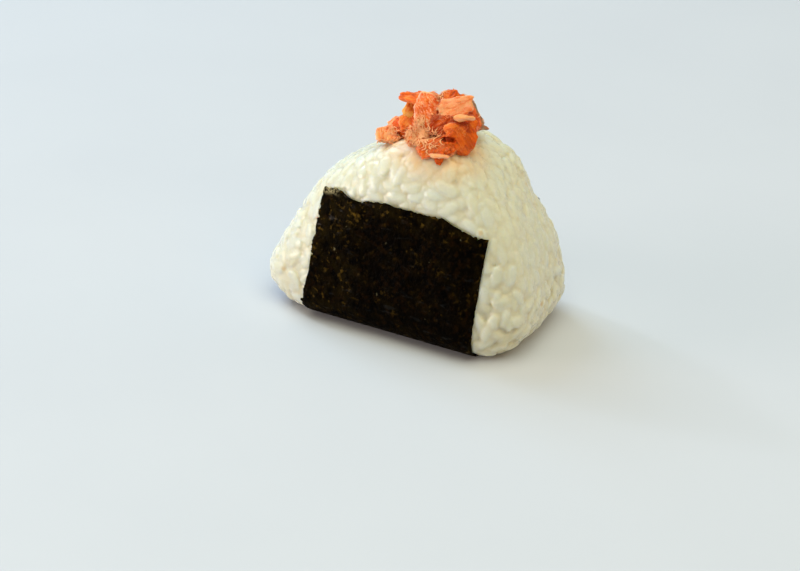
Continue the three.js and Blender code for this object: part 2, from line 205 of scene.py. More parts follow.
# The photograph's view: the camera's place, what lies at the picture's middle, the lens and the tilt.
CAMERA_AT = (242.4, -533.2, 317.4)
CAMERA_AIM = (-9.9, 7.8, 0)
CAMERA_LENS = 100.8
CAMERA_SENSOR = 36
CAMERA_CLIP = (0.01, 20)
CAMERA_TILT = radians(3.3)

# The floor and the light.
FLOOR_SIZE = 6
FLOOR_COLOURS = ((0.58, 0.61, 0.715), (0.60, 0.63, 0.735))
ROOM_COLOUR = (1.0, 1.0, 0.95)
ROOM_LIGHT = 0.2
LIGHT_AIM = (0, 0, 30)
LIGHTS = {
    # place, size, power, colour
    "key": ((-1500, 500, 1600), 1300, 25.3, (0.56, 0.81, 1.0)),
    "overhead": ((250, -300, 1800), 1800, 27.3, (0.99, 1.0, 0.74)),
    "low_left": ((-900, -700, 120), 500, 10.6, (1.0, 0.83, 0.70)),
    "right": ((1500, -800, 900), 1300, 5.6, (1.0, 0.62, 0.1)),
    "right_back": ((1400, 900, 900), 1300, 4.6, (1.0, 0.69, 0.3)),
    "sparkle": ((-1150, 150, 800), 100, 1.6, (0.95, 0.98, 1.0)),
}


# Shape of the pressed form


def side_circle(start, start_radius, end, end_radius):
    """The middle of a bulging side's large circle, which holds both corner circles and touches them."""
    gap = end - start
    span = np.linalg.norm(gap)
    to_start = SIDE_RADIUS - start_radius
    to_end = SIDE_RADIUS - end_radius
    along = (to_start**2 - to_end**2 + span**2) / (2 * span)
    across = sqrt(max(to_start**2 - along**2, 0))
    toward = gap / span
    return start + toward * along + np.array([-toward[1], toward[0]]) * across


def circle_reach(start, direction, centre, radius):
    """The distance from a start inside a circle to the circle, along a unit direction."""
    offset = start - centre
    along = offset @ direction
    return -along + sqrt(max(along**2 - offset @ offset + radius**2, 0))


def turn_about(centre, start, end):
    """The anticlockwise turn about a centre from one point to another."""
    first = atan2(start[1] - centre[1], start[0] - centre[0])
    last = atan2(end[1] - centre[1], end[0] - centre[0])
    return (last - first) % (2 * pi)


def front_reach(angle, inset):
    """How far the front view's outline, drawn in by an inset, lies from the middle in a direction."""
    middle = MIDDLE[[0, 2]]
    direction = np.array([cos(angle), sin(angle)])
    foot_x = BALL_WIDTH / 2 - FOOT_CORNER_RADIUS
    foot_y = FOOT_CORNER_RADIUS - FOOT_SINK
    right = (np.array([foot_x, foot_y]), FOOT_CORNER_RADIUS)
    left = (np.array([-foot_x, foot_y]), FOOT_CORNER_RADIUS)
    crown = (np.array([CROWN_LEAN, BALL_HEIGHT - CROWN_RADIUS]), CROWN_RADIUS)
    for start, end in ((right, crown), (crown, left)):
        centre = side_circle(*start, *end)
        reach = circle_reach(middle, direction, centre, SIDE_RADIUS - inset)
        hit = middle + direction * reach
        if turn_about(centre, start[0], hit) <= turn_about(centre, start[0], end[0]):
            return reach
    if direction[1] < 0:
        reach = (inset - FOOT_SINK - middle[1]) / direction[1]
        if abs(middle[0] + direction[0] * reach) <= foot_x:
            return reach
    near = crown if direction[1] > 0 else right if direction[0] > 0 else left
    return circle_reach(middle, direction, near[0], near[1] - inset)


ANGLES = np.linspace(-pi, pi, 1441)
OUTLINES = {}


def form_level(points, inset):
    """1 on the surface of the form drawn in by an inset, less inside and more outside."""
    if inset not in OUTLINES:
        OUTLINES[inset] = np.array([front_reach(angle, inset) for angle in ANGLES])
    x = points[:, 0] - MIDDLE[0]
    z = points[:, 2] - MIDDLE[2]
    share = np.hypot(x, z) / np.interp(np.arctan2(z, x), ANGLES, OUTLINES[inset])
    slope = (CROWN_THICKNESS - FOOT_THICKNESS) / BALL_HEIGHT
    thickness = np.maximum(FOOT_THICKNESS + slope * points[:, 2] - 2 * inset, 1)
    return share**SQUARENESS + np.abs(2 * points[:, 1] / thickness) ** SQUARENESS


def swelling(points):
    """The extra height of the swellings at points on the form."""
    rise = np.zeros(len(points))
    for middle, height, reach in SWELLINGS:
        rise += height * np.exp(-((distance(points, middle) / reach) ** 2))
    return rise


def last_held(count, high, rounds, holds):
    """The last value from 0 to high at which a test holds, for each of a count of rows."""
    low, high = np.zeros(count), np.full(count, float(high))
    for _ in range(rounds):
        half = (low + high) / 2
        held = holds(half)
        low = np.where(held, half, low)
        high = np.where(held, high, half)
    return low


def leave_form(starts, directions, inset):
    """How far rays from inside go until they leave the form, its flat foot included."""

    def at(reach):
        return starts + directions * reach[:, None]

    reach = last_held(len(directions), BALL_WIDTH, 26, lambda half: form_level(at(half), inset) < 1)
    reach += swelling(at(reach))
    down = directions[:, 2] < -1e-9
    floor = np.where(down, (inset - starts[..., 2]) / np.where(down, directions[:, 2], 1), np.inf)
    return np.minimum(reach, floor)


def smooth_step(value, low, high):
    """0 below low, 1 above high and an even rise between."""
    share = np.clip((value - low) / (high - low), 0, 1)
    return share * share * (3 - 2 * share)


def unit(directions):
    """Directions drawn to a length of 1."""
    return directions / np.linalg.norm(directions, axis=1)[:, None]


def distance(points, place):
    """How far points lie from a place."""
    return np.linalg.norm(points - place, axis=1)


def inner_points(x):
    """Points inside the form, from which rays go out across it."""
    return np.column_stack([x, np.zeros(len(x)), np.full(len(x), MIDDLE[2])])


def noise_at(points, size, offset=0.0):
    """Smooth noise from -1 to 1, with lumps of about a size, or of one size along each axis."""
    places = np.asarray(points) / size + np.array([offset, offset * 0.7, offset * 1.3])
    return np.array([noise.noise(place) for place in places])


# Handling of meshes


def deselect_all():
    """Leaves nothing selected, the imported nodes included."""
    bpy.ops.object.select_all(action="DESELECT")


def pick(*pieces):
    """Selects these pieces alone, and works on the first one."""
    deselect_all()
    for obj in pieces:
        obj.select_set(True)
    bpy.context.view_layer.objects.active = pieces[0]


def new_object(name, data):
    """A mesh, a light or a camera put into the scene."""
    obj = bpy.data.objects.new(name, data)
    bpy.context.scene.collection.objects.link(obj)
    return obj


def get_points(obj):
    """The object's vertices, in millimetres."""
    points = np.empty(len(obj.data.vertices) * 3)
    obj.data.vertices.foreach_get("co", points)
    return points.reshape(-1, 3) / MM


def set_points(obj, points):
    """Places the object's vertices, given in millimetres."""
    obj.data.vertices.foreach_set("co", (np.asarray(points) * MM).ravel())
    obj.data.update()


def get_normals(obj):
    """The normal at each of the object's vertices."""
    normals = np.empty(len(obj.data.vertices) * 3)
    obj.data.vertices.foreach_get("normal", normals)
    return normals.reshape(-1, 3)


def get_faces(obj):
    """The object's triangles, as an array of vertex numbers."""
    return np.array([face.vertices[:] for face in obj.data.polygons])


def ico_sphere(name, subdivisions):
    """A ball of radius 1 mm at the origin, to be shaped."""
    deselect_all()
    bpy.ops.mesh.primitive_ico_sphere_add(subdivisions=subdivisions, radius=MM, location=(0, 0, 0))
    obj = bpy.context.object
    obj.name = obj.data.name = name
    return obj


def mesh_of(name, parts, faces):
    """One piece of many parts, each given as its points in millimetres, and of the faces of all."""
    mesh = bpy.data.meshes.new(name)
    mesh.from_pydata((np.concatenate(parts) * MM).tolist(), [], faces)
    return new_object(name, mesh)


def apply_modifier(obj, kind, **settings):
    """Adds a modifier, sets it and applies it."""
    pick(obj)
    bpy.ops.object.modifier_add(type=kind)
    modifier = obj.modifiers[-1]
    for key, value in settings.items():
        setattr(modifier, key, value)
    bpy.ops.object.modifier_apply(modifier=modifier.name)


def join(target, *others):
    """Joins pieces into the first one."""
    pick(target, *others)
    bpy.ops.object.join()
    return target


def face_outward(obj):
    """Turns all faces of a closed piece outward."""
    pick(obj)
    bpy.ops.object.mode_set(mode="EDIT")
    bpy.ops.mesh.select_all(action="SELECT")
    bpy.ops.mesh.normals_make_consistent(inside=False)
    bpy.ops.object.mode_set(mode="OBJECT")


def shade_smooth(obj):
    """Rounds the shading of a piece."""
    pick(obj)
    bpy.ops.object.shade_smooth()


def paint(obj, **marks):
    """Stores a number for each vertex, or the same for all, under names that a material reads."""
    for name, values in marks.items():
        numbers = np.empty(len(obj.data.vertices), dtype=np.float32)
        numbers[:] = values
        obj.data.attributes.new(name, "FLOAT", "POINT").data.foreach_set("value", numbers)


def search_tree(points):
    """A tree that finds the nearest of points, by their numbers."""
    tree = kdtree.KDTree(len(points))
    for number, point in enumerate(points):
        tree.insert(point, number)
    tree.balance()
    return tree


def remesh(obj, voxel, kept=()):
    """Gives a piece one clean skin, with the kept numbers of the nearest old vertex."""
    before = get_points(obj)
    stored = {name: np.empty(len(before), dtype=np.float32) for name in kept}
    for name, values in stored.items():
        obj.data.attributes[name].data.foreach_get("value", values)
    apply_modifier(obj, "REMESH", mode="VOXEL", voxel_size=voxel * MM)
    if not kept:
        return
    tree = search_tree(before)
    nearest = np.array([tree.find(point)[1] for point in get_points(obj)])
    paint(obj, **{name: values[nearest] for name, values in stored.items()})


def thin_out(obj):
    """Brings a piece below the most triangles that it may have."""
    triangles = sum(len(face.vertices) - 2 for face in obj.data.polygons)
    if triangles > MOST_FACES:
        apply_modifier(obj, "DECIMATE", ratio=MOST_FACES / triangles)


def finish_piece(obj, node, material):
    """Gives a piece its material, hangs it under the root body and hides the solid that it stands for.
    """
    obj.data.materials.clear()
    obj.data.materials.append(material)
    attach(obj, "root")
    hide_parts(node)


# Seaweed outline, which the rice keeps clear of too


def seaweed_end(x, front):
    """The height of the strip's cut ends above the ground."""
    across = (x - SEAWEED_LEFT) / SEAWEED_WIDTH
    sag = 4.2 * smooth_step(across, 0.72, 1)
    notch = 1.5 * np.exp(-(((across - 0.22) / 0.08) ** 2))
    corner = 1.6 * np.exp(-((across / 0.06) ** 2))
    at_front = SEAWEED_FRONT_HEIGHT - sag - notch - corner
    at_back = SEAWEED_BACK_HEIGHT + 0.5 * np.sin(9 * across)
    return np.where(front, at_front, at_back)


def seaweed_depth(points):
    """How far points lie inside the strip's outline, in millimetres, and below 0 outside it."""
    x = points[:, 0]
    side = np.minimum(x - SEAWEED_LEFT, SEAWEED_LEFT + SEAWEED_WIDTH - x)
    return np.minimum(side, seaweed_end(x, points[:, 1] < 0) - points[:, 2])


# Rice


def rice_core():
    """A ball pulled onto the form, deep under the grains and shallow where the seaweed hides it."""
    core = ico_sphere("rice_ball", 6)
    directions = unit(get_points(core))
    deep = leave_form(MIDDLE, directions, CORE_INSET)
    shallow = leave_form(MIDDLE, directions, CORE_INSET_HIDDEN)
    hidden = smooth_step(seaweed_depth(MIDDLE + directions * shallow[:, None]), 1, 4)
    reach = deep + (shallow - deep) * hidden
    set_points(core, MIDDLE + directions * reach[:, None])
    return core


def grain_pattern():
    """One cooked grain: plump, blunt at both ends and a little bent."""
    grain = ico_sphere("grain", 3)
    points = get_points(grain)
    along = np.sign(points[:, 0]) * np.abs(points[:, 0]) ** 0.85
    girth = np.hypot(points[:, 1], points[:, 2])
    plump = (1 - np.abs(along) ** 2.6) ** 0.5 * (1 + 0.07 * along)
    scale = plump / np.maximum(girth, 1e-9)
    shaped = np.column_stack([along, points[:, 1] * scale, points[:, 2] * scale])
    shaped = shaped * GRAIN_SIZE / 2
    shaped[:, 1] += 0.3 * along**2
    faces = get_faces(grain)
    bpy.data.objects.remove(grain)
    return shaped, faces


def surface_spots(obj, count, rng):
    """Spots spread evenly over a mesh, with their normals."""
    points = get_points(obj)
    corners = points[get_faces(obj)]
    normals = np.cross(corners[:, 1] - corners[:, 0], corners[:, 2] - corners[:, 0])
    areas = np.linalg.norm(normals, axis=1)
    picked = rng.choice(len(areas), size=count, p=areas / areas.sum())
    first = np.sqrt(rng.random(count))
    second = rng.random(count)
    weights = np.column_stack([1 - first, first * (1 - second), first * second])
    spots = (corners[picked] * weights[:, :, None]).sum(axis=1)
    return spots, normals[picked] / areas[picked][:, None]


def relief_at(points):
    """How much of the grains' height the pressing has left at points."""
    relief = np.full(len(points), RELIEF)
    for middle, reach, value in RELIEF_ZONES:
        share = 1 - smooth_step(distance(points, middle), 0.5 * reach, 1.3 * reach)
        relief += (value - relief) * share
    return relief


def grain_axes(normal, pressed, rng, tries=10):
    """Ways that a grain may lie on a surface: up and down, where it was pressed hard."""
    across = unit(np.cross(normal, rng.normal(size=(tries, 3))))
    upright = np.array([0, 0, 1]) - normal * normal[2]
    across *= np.where(across @ upright < 0, -1, 1)[:, None]
    across = unit(across + upright * pressed * 2.5)
    tilt = rng.normal(size=tries)[:, None] * 0.14
    return across * np.cos(tilt) + normal * np.sin(tilt)


def pack_grains(spots, normals, lift, least, rng):
    """Lays grains at spots where no other is too near, each turned to lie close to the others."""
    offsets = GRAIN_BEADS * GRAIN_SIZE[0]
    taken = np.empty((0, 3))
    laid = []
    pressed = 1 - smooth_step(relief_at(spots), 0.17, 0.27)
    for spot, normal, press in zip(spots, normals, pressed):
        centre = spot + normal * rng.uniform(*lift)
        axes = grain_axes(normal, press, rng)
        near = taken[np.abs(taken - centre).max(axis=1) < NEIGHBOUR_REACH]
        beads = centre + offsets[:, None, None] * axes
        if len(near):
            gaps = np.linalg.norm(near[:, None, None] - beads, axis=3).min(axis=(0, 1))
            gaps = np.where(gaps < least, np.inf, gaps)
            best = int(np.argmin(gaps))
            if gaps[best] == np.inf:
                continue
        else:
            best = 0
        axis = axes[best]
        taken = np.vstack([taken, beads[:, best]])
        side = np.cross(normal, axis)
        side /= np.linalg.norm(side)
        laid.append((centre, axis, side, np.cross(axis, side)))
    return laid


def build_rice():
    """The ball: grains pressed together over a core, and stuck to each other where they touch."""
    rng = np.random.default_rng(RICE_SEED)
    core = rice_core()
    spots, normals = surface_spots(core, GRAIN_SPOTS, rng)
    shown = seaweed_depth(spots) < 3
    spots, normals = spots[shown], normals[shown]
    grains = []
    for layer, (lift, least) in enumerate(GRAIN_LAYERS):
        take = slice(layer, None, len(GRAIN_LAYERS))
        grains += pack_grains(spots[take], normals[take], lift, least, rng)

    pattern, faces = grain_pattern()
    parts, all_faces = [], []
    for centre, axis, side, up in grains:
        grain = pattern * rng.uniform(0.82, 1.12, 3)
        all_faces.extend((faces + len(pattern) * len(parts)).tolist())
        parts.append(centre + grain @ np.array([axis, side, up]))
    rice = join(core, mesh_of("grains", parts, all_faces))
    remesh(rice, RICE_VOXEL)
    apply_modifier(rice, "SMOOTH", factor=0.5, iterations=3)
    press_rice(rice, grains, rng)
    remesh(rice, RICE_VOXEL, ("gap", "grain_tone"))
    flatten_rice(rice)
    thin_out(rice)
    shade_smooth(rice)
    mark_rice(rice, grains, rng)
    finish_piece(rice, "rice", rice_material())


def cast_out(points):
    """How deep points lie below the form, and their directions from the middle."""
    outward = unit(points - MIDDLE)
    return leave_form(MIDDLE, outward, 0) - distance(points, MIDDLE), outward


def nearest_grains(points, grains):
    """The number of the grain that each point lies on, and how much further off the next one is."""
    shares = np.array([-0.74, -0.4, 0, 0.4, 0.74])
    girths = 1.5 * (1 - np.abs(shares) ** 2.2) ** 0.5
    beads = len(shares)
    middles = []
    for centre, axis, _, _ in grains:
        middles += [centre + axis * share * GRAIN_SIZE[0] / 2 for share in shares]
    tree = search_tree(middles)
    numbers = np.empty(len(points), dtype=int)
    lead = np.empty(len(points))
    for row, point in enumerate(points):
        near = tree.find_n(point, 10)
        found = [(apart - girths[bead % beads], bead // beads) for _, bead, apart in near]
        nearest, numbers[row] = min(found)
        others = [apart for apart, number in found if number != numbers[row]]
        lead[row] = min(others, default=9) - nearest
    return numbers, lead


def press_rice(rice, grains, rng):
    """Presses the grains' relief down, and marks grains and gaps. The gap mark is painted warm shade,
    deepest between grains and near the foot.
    """
    points = get_points(rice)
    depth, outward = cast_out(points)
    relief = relief_at(points)
    numbers, lead = nearest_grains(points, grains)
    crease = 1 - smooth_step(lead, 0, CREASE_WIDTH)
    # Painted shade: the gap mark grows with depth below the form and along the creases between grains,
    # and is weaker at the left end and where the rice is pressed flat.
    gap = smooth_step(depth + 0.3 * noise_at(points, 1.6, 9.0), 0.75, 2.0)
    shown = np.clip(relief / RELIEF, 0.6, 1) * (0.25 + 0.75 * smooth_step(points[:, 0], -38, -26))
    # more painted warm shade low on the ball, near the ground
    low = 1 - smooth_step(points[:, 2], 2, 24)
    gap = (0.7 * gap + 0.3 * crease) * shown + 0.42 * low
    paint(rice, gap=gap, grain_tone=rng.random(len(grains))[numbers])
    level = 0.35
    pressed = level + (depth - level) * relief + CREASE_DEPTH * crease * shown
    set_points(rice, points + outward * (depth - pressed)[:, None])


def flatten_rice(rice):
    """Presses the rice flat under the seaweed and on the ground."""
    points = get_points(rice)
    starts = inner_points(points[:, 0])
    offsets = points - starts
    lengths = np.linalg.norm(offsets, axis=1)
    directions = offsets / lengths[:, None]
    allowed = leave_form(starts, directions, 0.75)
    covered = smooth_step(seaweed_depth(points), -0.4, 0.3)
    points -= directions * (np.maximum(lengths - allowed, 0) * covered)[:, None]
    points[:, 2] = np.maximum(points[:, 2], 0)
    set_points(rice, points)


def mark_rice(rice, grains, rng):
    """Stores where the germs and the salmon's stain lie."""
    points = get_points(rice)
    with_germ = np.flatnonzero(rng.random(len(grains)) > 1 - GERM_SHARE)
    germs = []
    for centre, axis, _, up in (grains[number] for number in with_germ):
        germs.append(centre + axis * 2.1 + up * 0.9)
    tree = search_tree(germs)
    found = [tree.find(point) for point in points]
    near_germ = np.array([item[2] for item in found]) + 0.45 * noise_at(points, 0.9, 4.4)
    strength = rng.uniform(0.15, 1, len(grains))[with_germ[[item[1] for item in found]]]
    paint(rice, germ=(1 - smooth_step(near_germ, 0.3, 1.2)) * strength)

    apart = distance((points - STAIN_MIDDLE) / STAIN_STRETCH, 0)
    paint(rice, stain=1 - smooth_step(apart, *STAIN_REACH))


# Seaweed


def end_angles(x, front):
    """The angles above the horizontal, seen from the middle, at which the strip ends."""
    height = seaweed_end(x, np.full(len(x), front))

    def below(angle):
        directions = np.column_stack([np.zeros(len(x)), np.cos(angle), np.sin(angle)])
        return leave_form(inner_points(x), directions, 0.0) * np.sin(angle) + MIDDLE[2] < height

    return last_held(len(x), pi / 2, 22, below)


def lay_strip(from_left, length):
    """A sheet's points wrapped up round the foot, with ragged ends and the grains' bumps."""
    from_right = SEAWEED_WIDTH - from_left
    x = SEAWEED_LEFT + from_left
    front = end_angles(x, True) + pi / 2
    back = end_angles(x, False) + pi / 2 - 0.06 * np.exp(-((from_right / 4) ** 2))
    flat = np.column_stack([x, length, np.zeros(len(x))])

    torn = smooth_step(noise_at(flat, 4.5, 8.2), -0.25, 0.3)
    fine = 0.75 * noise_at(flat, 1.2) + 0.4 * noise_at(flat, 0.6, 5.3)
    frayed = 0.45 * noise_at(flat, 3.4, 3.1) + torn * fine
    from_end = np.minimum(length, SEAWEED_LENGTH - length)
    x += frayed * (1.4 * np.exp(-from_left / 1.2) + 0.25 * np.exp(-from_right / 1.2))
    flare = np.exp(-(((length - SEAWEED_FOOT) / 6) ** 2)) * np.exp(-from_left / 2)
    x -= flare * (1.4 + 2.4 * np.maximum(noise_at(flat, 1.1, 6.1), 0))
    share = length / SEAWEED_LENGTH
    angle = -front + (front + back) * share
    angle += 0.04 * frayed * np.exp(-from_end / 1.5) * np.sign(0.5 - share)

    directions = np.column_stack([np.zeros(len(x)), np.sin(angle), -np.cos(angle)])
    starts = inner_points(x)
    reach = leave_form(starts, directions, SEAWEED_THICKNESS / 2)
    points = starts + directions * reach[:, None]
    lift = smooth_step(points[:, 2], 1.5, 10)
    ripple = 0.25 * np.sin(0.31 * x + 2.2 * angle) * np.sin(5 * angle - 0.12 * x)
    grains_under = 0.22 * noise_at(points, 4.2, 7.7) + 0.08 * noise_at(points, 1.5, 1.7)
    curl = 0.9 * np.exp(-length / 3) * (0.5 + 0.5 * noise_at(flat * [1, 0, 0], 6, 2.2))
    return points + directions * (lift * (ripple + grains_under) + curl)[:, None]


def mark_seaweed(strip, from_left, length):
    """Stores where the strip is worn, and where its upper left corner is pale."""
    from_right = SEAWEED_WIDTH - from_left
    worn = 0.12 + np.exp(-((from_left / 12) ** 2)) + np.exp(-length / 3.5)
    worn = worn + 0.5 * np.exp(-from_right / 2) + np.exp(-np.hypot(from_right, length) / 5)
    pale = (1 - smooth_step(from_left, 3.5, 6.5)) * (1 - smooth_step(length, 0.6, 2.8))
    paint(strip, worn=np.clip(worn, 0, 1), pale_corner=pale)


def build_seaweed():
    """The strip: a sheet laid against the rice and given its thickness."""
    columns = round(SEAWEED_WIDTH / SEAWEED_STEP)
    rows = round(SEAWEED_LENGTH / SEAWEED_STEP)
    deselect_all()
    bpy.ops.mesh.primitive_grid_add(x_subdivisions=columns, y_subdivisions=rows, size=MM)
    strip = bpy.context.object
    strip.name = strip.data.name = "seaweed_strip"
    from_left, length = ((get_points(strip)[:, :2] + 0.5) * [SEAWEED_WIDTH, SEAWEED_LENGTH]).T
    set_points(strip, lay_strip(from_left, length))
    mark_seaweed(strip, from_left, length)
    apply_modifier(strip, "SOLIDIFY", thickness=SEAWEED_THICKNESS * MM, offset=0)
    face_outward(strip)
    shade_smooth(strip)
    finish_piece(strip, "seaweed", seaweed_material())


# Salmon


def flake_axes(facing, spin):
    """The directions along, across and out of a flake."""
    azimuth, height = np.radians(facing)
    level = np.array([cos(azimuth), sin(azimuth), 0])
    facing_out = np.array([sin(azimuth), -cos(azimuth), 0])
    out = facing_out * cos(height) + np.array([0, 0, sin(height)])
    turn = radians(spin)
    along = level * cos(turn) + np.cross(out, level) * sin(turn)
    return np.array([along, np.cross(out, along), out])


def powered(value, power):
    """A power that keeps the sign."""
    return np.sign(value) * np.abs(value) ** power


def turn_back(local, crease, angle):
    """Folds what lies beyond a crease back, away from the flake's face."""
    beyond = np.maximum(local[:, 1] - crease, 0)
    turn = radians(angle) * smooth_step(beyond, 0, 1.4)
    out = local[:, 2].copy()
    folded = crease + beyond * np.cos(turn) + out * np.sin(turn)
    local[:, 1] = np.where(beyond > 0, folded, local[:, 1])
    local[:, 2] = np.where(beyond > 0, out * np.cos(turn) - beyond * np.sin(turn), out)


def shape_flake(obj, size, taper, curl, fibres, fold, seed):
    """Shapes a ball into a slab with a broken outline. It gives both, and the slab's place by fibre."""
    ball = unit(get_points(obj))
    length, width, thickness = size
    around = np.arctan2(ball[:, 1], ball[:, 0])
    outline = 1 + 0.07 * np.cos(3 * around + seed) + 0.06 * np.cos(5 * around + 3 * seed)
    coarse = noise_at(ball * [1, 1, 0.2], 0.4, seed)
    outline += 0.12 * coarse + 0.08 * noise_at(ball * [1, 1, 0.4], 0.14, seed)
    along = powered(ball[:, 0], 0.75)
    narrow = 1 - 0.5 * taper * (along + 1)
    across = powered(ball[:, 1], 0.75) * narrow * outline
    out = powered(ball[:, 2], 0.65) * (1 - 0.25 * taper * (along + 1))
    slab = np.column_stack([along * outline * length, across * width, out * thickness]) / 2
    dish = (1 - ball[:, 0] ** 2 - ball[:, 1] ** 2).clip(0) * (out > 0)
    slab[:, 2] += curl * along**2 - 0.16 * thickness * dish
    turn = radians(fibres)
    run = slab[:, 0] * cos(turn) + slab[:, 1] * sin(turn)
    over = slab[:, 1] * cos(turn) - slab[:, 0] * sin(turn)
    strands = np.column_stack([run, over, slab[:, 2]])
    if fold:
        turn_back(slab, *fold)
    set_points(obj, slab)
    return ball, slab, strands


def tear_flake(obj, ball, slab, strands, size, fibres, relief, seed):
    """Grooves, cracks and frays a slab along its fibres, and gives how far off its cracks are."""
    length, _, thickness = size
    grooves = noise_at(strands, [3.5, 0.6, 0.6], seed + 11)
    crack = np.abs(noise_at(strands, [4.5, 1.7, 2.4], seed + 23))
    lumps = noise_at(slab, 2.2, seed + 31)
    small = min(1, thickness / 4)
    sides = smooth_step(1 - np.abs(ball[:, 2]), 0.4, 0.75)
    layers = noise_at(strands, [4, 4, 0.42], seed + 17) * sides
    rise = 0.2 * relief * grooves + 0.35 * lumps + 0.22 * layers
    rise -= 0.5 * relief * (1 - smooth_step(crack, 0, 0.09))
    rise += 0.16 * noise_at(strands, [1.4, 0.6, 0.6], seed + 37) + 0.08 * noise_at(slab, 0.4, seed + 43)
    slab += get_normals(obj) * (small * rise)[:, None]
    run = strands[:, 0]
    ends = smooth_step(np.abs(run) / (0.5 * length), 0.55, 1)
    fringe = noise_at(strands, [50, 0.5, 0.8], seed + 41) * relief
    turn = radians(fibres)
    slab[:, 0] += cos(turn) * np.sign(run) * ends * fringe * 0.6 * small
    slab[:, 1] += sin(turn) * np.sign(run) * ends * fringe * 0.6 * small
    set_points(obj, slab)
    return crack


def mark_flesh(obj, strands, **marks):
    """Stores what the salmon's material reads: its marks, and each vertex's place by the fibres."""
    paint(obj, **{name: marks.get(name, 0) for name in SALMON_MARKS})
    paint(obj, **dict(zip(FIBRE_MARKS, strands.T)))


def build_flake(name, spec, rng):
    """One flake in its place, with its tone, film, skin and the run of its fibres."""
    middle, size, facing, spin, taper, curl, tone, fibres, film, relief = spec
    flake = ico_sphere(name, 5 if max(size) > 7 else 4)
    seed = float(rng.uniform(0, 50))
    ball, slab, strands = shape_flake(flake, size, taper, curl, fibres, FOLDS.get(name), seed)
    crack = tear_flake(flake, ball, slab, strands, size, fibres, relief, seed)
    local = get_points(flake)
    set_points(flake, local @ flake_axes(facing, spin) + middle)

    rim = smooth_step(1 - np.abs(ball[:, 2]), 0.5, 0.8) * smooth_step(ball[:, 2], -0.4, 0)
    veins = 1 - smooth_step(np.abs(noise_at(strands, [3.2, 0.6, 0.8], seed + 53)), 0.0, 0.16)
    patches = 0.5 + 0.5 * noise_at(local, 2.2, seed + 61)
    # random tone, and painted shade that darkens the flesh along the cracks
    shade = 0.3 * noise_at(local, 2.0, seed + 71) + 0.3 * relief * (1 - smooth_step(crack, 0, 0.14))
    skin = {"skin_side": smooth_step(-ball[:, 1], 0.15, 0.5), "skin_tail": 1}
    mark_flesh(
        flake,
        strands + seed * 3,
        tone=tone + shade,
        film=np.clip(film * (rim * (0.4 + patches) + 0.8 * veins * patches), 0, 1),
        skin=skin.get(name, 0),
        amber=AMBER.get(name, 0.1) + 0.25 * noise_at(local, 3, seed + 83),
        veined=film,
    )
    return flake


def build_salmon_base(name, middle, size):
    """A lumpy crumb of flesh, which shows in the hollows between the flakes. Its darker tone is painted
    shade for those hollows.
    """
    base = ico_sphere(name, 5)
    local = unit(get_points(base)) * size / 2
    grain = noise_at(local, [1.6, 1.6, 0.7], 3.3)
    local *= (1 + 0.06 * noise_at(local, 2.5, 1.1) + 0.04 * grain)[:, None]
    set_points(base, local + middle)
    # a darker tone than most flakes: painted shade for the hollows where the base shows
    mark_flesh(base, local, tone=0.65 + 0.2 * grain, amber=0.2)
    return base


def hollows(obj):
    """How much of the way out from each vertex is blocked nearby: 0 in the open, 1 deep in a recess.
    The salmon's material darkens by it, as painted shade.
    """
    points = get_points(obj)
    solid = bvhtree.BVHTree.FromPolygons(points.tolist(), get_faces(obj).tolist())
    turns = unit(np.random.default_rng(1).normal(size=(HOLLOW_SHADE_RAYS, 3)))
    blocked = np.zeros(len(points))
    for number, (point, normal) in enumerate(zip(points, get_normals(obj))):
        for turn in turns + normal * 1.05:
            hit = solid.ray_cast(point + normal * 0.15, turn, HOLLOW_SHADE_REACH)
            blocked[number] += hit[0] is not None
    return blocked / HOLLOW_SHADE_RAYS


def shred_points(start, heading, lift, length, width, bend, rng):
    """A thin torn strand: rings of points about a bent line, drawn to a tip at both ends."""
    points = []
    side = np.cross(heading, lift)
    for ring in range(SHRED_RINGS):
        share = ring / (SHRED_RINGS - 1)
        centre = start + heading * length * (share - 0.5)
        bow = (share - 0.5) ** 2
        centre = centre + lift * (0.1 + bend[0] * bow) + side * bend[1] * bow
        girth = width * (0.25 + 0.75 * sin(pi * share) ** 0.6) * rng.uniform(0.8, 1.2)
        for corner in range(SHRED_SIDES):
            turn = 2 * pi * corner / SHRED_SIDES
            points.append(centre + (side * cos(turn) * 0.5 + lift * sin(turn) * 0.3) * girth)
    return np.array(points)


def shred_faces(start):
    """The faces of a strand, closed at both ends, from the number of its first vertex."""
    faces = []
    last = start + (SHRED_RINGS - 1) * SHRED_SIDES
    for ring in range(start, last, SHRED_SIDES):
        for corner in range(SHRED_SIDES):
            here = ring + corner
            beside = ring + (corner + 1) % SHRED_SIDES
            faces.append([here, here + SHRED_SIDES, beside + SHRED_SIDES, beside])
    faces.append(list(range(start, start + SHRED_SIDES)))
    faces.append(list(reversed(range(last, last + SHRED_SIDES))))
    return faces


def shred_spots(spots, rng):
    """Which spots carry a strand, most of them in the tuft at the heap's front left."""
    used = []
    for middle, reach, share in SHRED_TUFTS:
        candidates = np.flatnonzero((distance(spots, middle) < reach) & (spots[:, 2] > SHREDS_ABOVE))
        count = min(round(SHREDS * share), len(candidates))
        used.extend(rng.choice(candidates, size=count, replace=False))
    return used


